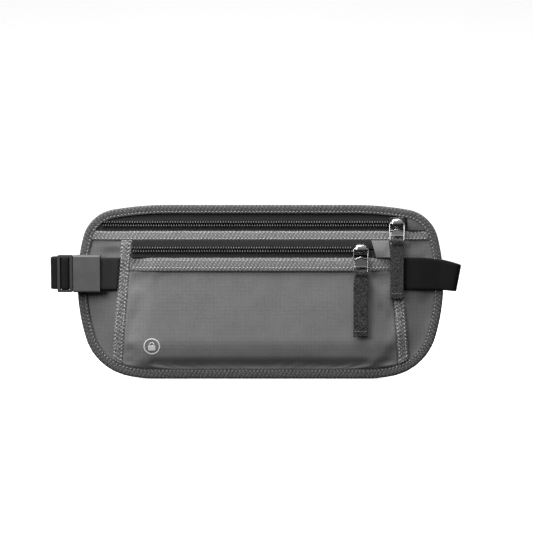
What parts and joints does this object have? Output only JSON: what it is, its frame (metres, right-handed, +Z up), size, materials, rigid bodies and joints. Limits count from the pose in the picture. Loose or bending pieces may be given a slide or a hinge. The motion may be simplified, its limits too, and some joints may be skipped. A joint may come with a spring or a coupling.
{
  "type": "money belt",
  "caption": "Flat zipped waist pouch with a main pocket and a front pocket, bound edges, and an elastic belt closed by a side-release buckle.",
  "frame": {"origin": "middle of the pouch's back, at the height of the belt's centre line, where the wearer's waist carries it", "axes": "+X along the pouch to the right seen from its front, -Y out of the front pocket, +Z up"},
  "size_m": [0.327, 0.03, 0.139],
  "materials": {
    "ripstop": "matt woven ripstop nylon",
    "grosgrain": "ribbed grosgrain tape",
    "shielding": "metallised lining film",
    "zip_tape": "woven polyester tape",
    "zip_coil": "satin nylon coil",
    "webbing": "black elastic webbing",
    "buckle_plastic": "fine matt moulded texture",
    "slider_metal": "polished gunmetal plating",
    "pull_ribbon": "narrow woven tape",
    "print_white": "flat printed ink"
  },
  "bodies": {
    "pouch": {"main_panel": "ripstop", "back_panel": "ripstop", "shielding_lining": "shielding", "front_panel": "ripstop", "perimeter_binding": "grosgrain", "upper_facing": "grosgrain", "pocket_facing": "grosgrain", "seam_tape_left": "grosgrain", "seam_tape_right": "grosgrain", "upper_zip_tape_top": "zip_tape", "upper_zip_tape_bottom": "zip_tape", "upper_zip_teeth_top": "zip_coil", "upper_zip_teeth_bottom": "zip_coil", "upper_zip_end_tab": "ripstop", "lower_zip_tape_top": "zip_tape", "lower_zip_tape_bottom": "zip_tape", "lower_zip_teeth_top": "zip_coil", "lower_zip_teeth_bottom": "zip_coil", "lower_zip_end_tab": "ripstop", "anchor_strap": "webbing", "belt_strap": "webbing", "belt_lead": "webbing", "buckle_female": "buckle_plastic", "printed_mark": "print_white"},
    "upper_slider": {"upper_slider_body": "slider_metal", "upper_slider_crown": "slider_metal"},
    "upper_pull": {"upper_pull": "slider_metal"},
    "upper_ribbon": {"upper_pull_ribbon": "pull_ribbon"},
    "lower_slider": {"lower_slider_body": "slider_metal", "lower_slider_crown": "slider_metal"},
    "lower_pull": {"lower_pull": "slider_metal"},
    "lower_ribbon": {"lower_pull_ribbon": "pull_ribbon"},
    "buckle_male_half": {"buckle_male": "buckle_plastic", "belt_tail_loop": "webbing"},
    "prong_upper": {"buckle_prong_upper": "buckle_plastic"},
    "prong_lower": {"buckle_prong_lower": "buckle_plastic"}
  },
  "joints": [
    {"name": "upper_zip_slide", "type": "slide", "parent": "pouch", "child": "upper_slider", "axis": [-1, 0, 0], "range_m": [0, 0.2156], "deforming": ["upper_zip_tape_top", "upper_zip_tape_bottom", "upper_zip_teeth_top", "upper_zip_teeth_bottom", "upper_pull_ribbon"]},
    {"name": "upper_pull_hinge", "type": "hinge", "parent": "upper_slider", "child": "upper_pull", "pos_m": [0.1078, -0.01335, 0.03989], "axis": [-1, 0, 0], "range_deg": [0, 135]},
    {"name": "upper_ribbon_hinge", "type": "hinge", "parent": "upper_pull", "child": "upper_ribbon", "pos_m": [0.1078, -0.01655, 0.02595], "axis": [-1, 0, 0], "range_deg": [0, 50]},
    {"name": "lower_zip_slide", "type": "slide", "parent": "pouch", "child": "lower_slider", "axis": [-1, 0, 0], "range_m": [0, 0.172], "deforming": ["lower_zip_tape_top", "lower_zip_tape_bottom", "lower_zip_teeth_top", "lower_zip_teeth_bottom"]},
    {"name": "lower_pull_hinge", "type": "hinge", "parent": "lower_slider", "child": "lower_pull", "pos_m": [0.0789, -0.0201, 0.01998], "axis": [-1, 0, 0], "range_deg": [0, 135]},
    {"name": "lower_ribbon_hinge", "type": "hinge", "parent": "lower_pull", "child": "lower_ribbon", "pos_m": [0.0789, -0.02285, 0.00159], "axis": [-1, 0, 0], "range_deg": [0, 50]},
    {"name": "buckle_release", "type": "slide", "parent": "pouch", "child": "buckle_male_half", "axis": [-1, 0, 0], "range_m": [0, 0.03], "deforming": ["belt_lead", "buckle_prong_upper", "buckle_prong_lower"]},
    {"name": "prong_upper_pinch", "type": "hinge", "parent": "buckle_male_half", "child": "prong_upper", "pos_m": [-0.1481, -0.0136, 0.0073], "axis": [0, 1, 0], "range_deg": [0, 7], "stiffness_Nm_per_rad": 0.05},
    {"name": "prong_lower_pinch", "type": "hinge", "parent": "buckle_male_half", "child": "prong_lower", "pos_m": [-0.1481, -0.0136, -0.0073], "axis": [0, 1, 0], "range_deg": [-7, 0], "stiffness_Nm_per_rad": 0.05}
  ],
  "couplings": [
    {"joint": "prong_lower_pinch", "follows": "prong_upper_pinch", "ratio": -1}
  ]
}
